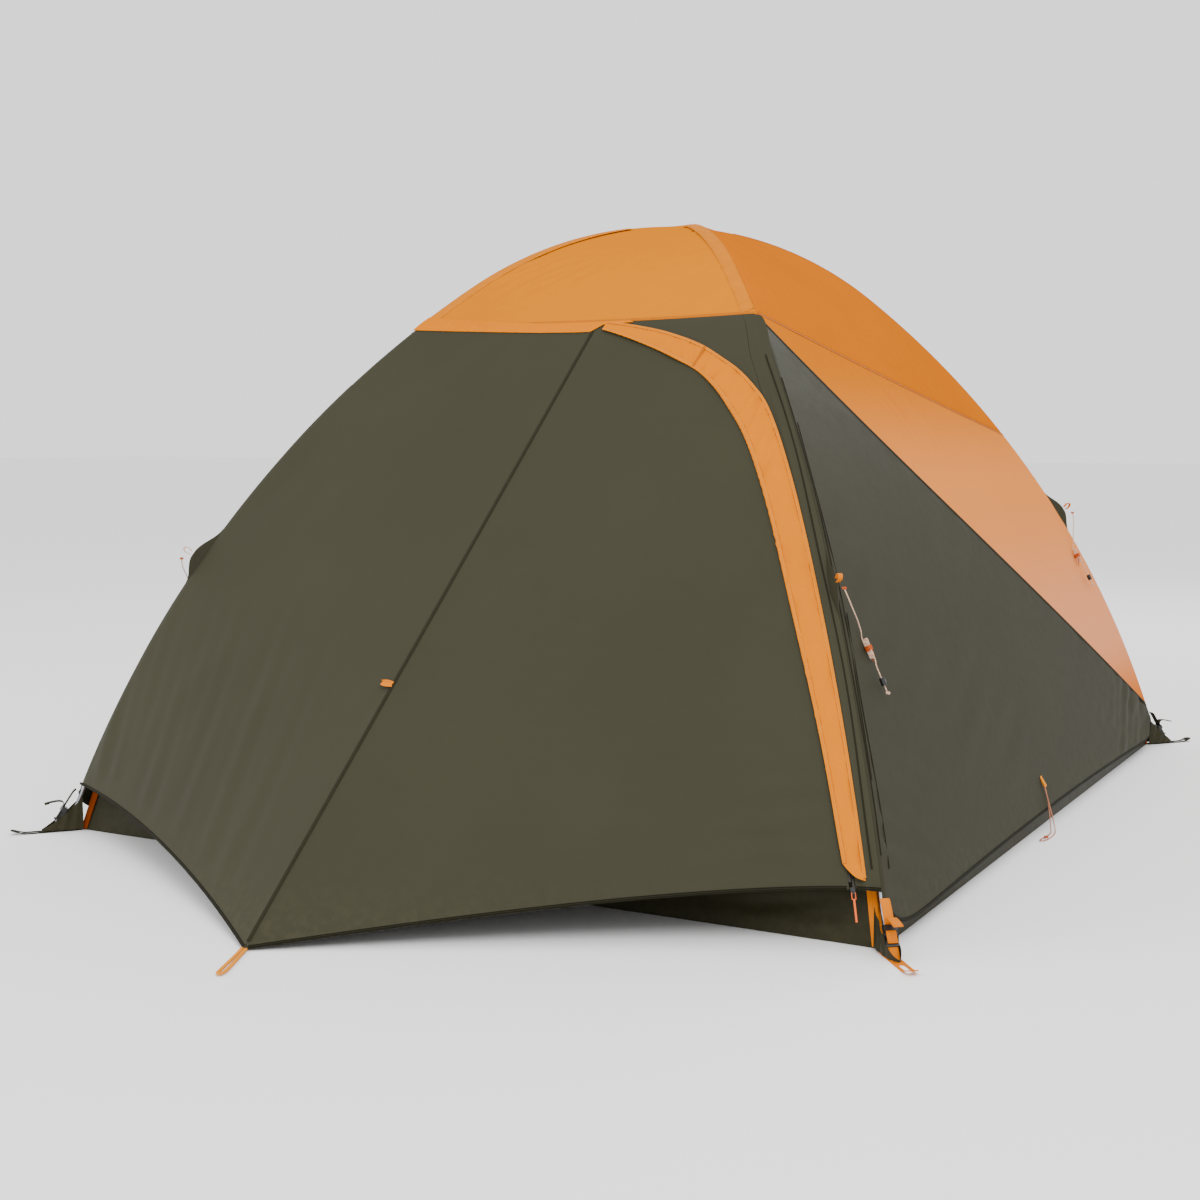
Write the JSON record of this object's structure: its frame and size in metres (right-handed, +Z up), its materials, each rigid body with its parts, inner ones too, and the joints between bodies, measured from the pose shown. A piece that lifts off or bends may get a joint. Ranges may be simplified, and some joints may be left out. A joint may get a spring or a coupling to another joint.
{
  "type": "two-pole dome tent",
  "caption": "Dome tent on crossed arched poles with a hung inner tent, a two-colour rain fly, a zipped front porch, guy lines and corner peg loops.",
  "frame": {"origin": "on the ground under the middle of the four pole feet", "axes": "+Z up, the porch is towards -Y, +X is to the right of someone inside looking towards the rear"},
  "size_m": [2.2586, 3.2881, 1.512],
  "materials": {
    "pole": "satin",
    "plastic": "satin",
    "cord_white": "matte",
    "olive": "matte",
    "orange": "matte",
    "peach": "matte",
    "inner": "matte",
    "floor": "satin",
    "webbing": "matte",
    "mesh": "matte",
    "coil": "satin",
    "steel": "satin"
  },
  "bodies": {
    "tent": {"pole_over": "pole", "pole_under": "pole", "pole_ferrules": "pole", "pole_tips": "plastic", "shock_cords": "cord_white", "apex_clip": "plastic", "pole_clips": "plastic", "clip_tabs": "webbing", "corner_webbing": "webbing", "grommets": "steel", "floor_tub": "floor", "inner_wall_front": "inner", "inner_wall_rear": "inner", "inner_wall_left": "inner", "inner_wall_right": "inner", "inner_roof": "mesh", "inner_zip_wall": "coil", "fly_cap_front": "orange", "fly_cap_rear": "orange", "fly_cap_left": "orange", "fly_cap_right": "orange", "fly_right_upper": "peach", "fly_right_lower": "olive", "fly_left_upper": "peach", "fly_left_lower": "olive", "fly_rear": "orange", "porch_left": "olive", "porch_strip": "olive", "zip_fixed": "coil", "guy_fins": "olive", "webbing_loops": "webbing", "guyline_fr": "cord_white", "guyline_fl": "cord_white", "guyline_rr": "cord_white", "guyline_rl": "cord_white", "guy_hanks": "cord_white", "side_cord_right": "cord_white", "side_cord_left": "cord_white", "nose_loop": "webbing", "tie_toggle": "webbing", "fly_straps": "webbing", "buckle_females": "plastic"},
    "fly_door": {"fly_door": "olive", "storm_flap": "orange", "zip_door": "coil"},
    "zip_slider": {"zip_slider": "plastic"},
    "zip_pull": {"zip_pull": "webbing"},
    "inner_door": {"inner_door": "inner", "inner_zip_door": "coil"},
    "inner_slider": {"inner_slider": "plastic"},
    "lock_fr": {"cord_lock_fr": "plastic"},
    "buckle_fr": {"buckle_male_fr": "plastic"},
    "lock_fl": {"cord_lock_fl": "plastic"},
    "buckle_fl": {"buckle_male_fl": "plastic"},
    "lock_rr": {"cord_lock_rr": "plastic"},
    "buckle_rr": {"buckle_male_rr": "plastic"},
    "lock_rl": {"cord_lock_rl": "plastic"},
    "buckle_rl": {"buckle_male_rl": "plastic"}
  },
  "joints": [
    {"name": "fly_door", "type": "hinge", "parent": "tent", "child": "fly_door", "pos_m": [0.05737, -0.56968, 1.22314], "axis": [-0.0416, -0.7094, -0.7035], "range_deg": [0, 150]},
    {"name": "zip_slider", "type": "hinge", "parent": "tent", "child": "zip_slider", "pos_m": [-0.64007, 0.68619, -0.92317], "axis": [-0.7675, -0.6411, 0], "range_deg": [0, 20.05]},
    {"name": "zip_pull", "type": "hinge", "parent": "zip_slider", "child": "zip_pull", "pos_m": [0.97035, -1.24167, 0.10609], "axis": [-0.7675, -0.6411, 0], "range_deg": [0, 100]},
    {"name": "inner_door", "type": "hinge", "parent": "tent", "child": "inner_door", "pos_m": [-0.47, -1.14494, 0.22252], "axis": [0.3706, 0.4437, 0.8159], "range_deg": [0, 80]},
    {"name": "inner_slider", "type": "hinge", "parent": "tent", "child": "inner_slider", "pos_m": [-0.06, -1.03064, 0.43355], "axis": [0, -0.8785, 0.4777], "range_deg": [0, 122.9]},
    {"name": "lock_fr", "type": "slide", "parent": "tent", "child": "lock_fr", "axis": [-0.4171, 0, 0.9089], "range_m": [0, 0.028]},
    {"name": "buckle_fr", "type": "slide", "parent": "tent", "child": "buckle_fr", "axis": [-0.3492, 0.418, 0.8387], "range_m": [0, 0.02]},
    {"name": "lock_fl", "type": "slide", "parent": "tent", "child": "lock_fl", "axis": [0.4171, 0, 0.9089], "range_m": [0, 0.028]},
    {"name": "buckle_fl", "type": "slide", "parent": "tent", "child": "buckle_fl", "axis": [0.3492, 0.418, 0.8387], "range_m": [0, 0.02]},
    {"name": "lock_rr", "type": "slide", "parent": "tent", "child": "lock_rr", "axis": [-0.4406, 0, 0.8977], "range_m": [0, 0.028]},
    {"name": "buckle_rr", "type": "slide", "parent": "tent", "child": "buckle_rr", "axis": [-0.3492, -0.418, 0.8387], "range_m": [0, 0.02]},
    {"name": "lock_rl", "type": "slide", "parent": "tent", "child": "lock_rl", "axis": [0.4406, 0, 0.8977], "range_m": [0, 0.028]},
    {"name": "buckle_rl", "type": "slide", "parent": "tent", "child": "buckle_rl", "axis": [0.3492, -0.418, 0.8387], "range_m": [0, 0.02]}
  ]
}
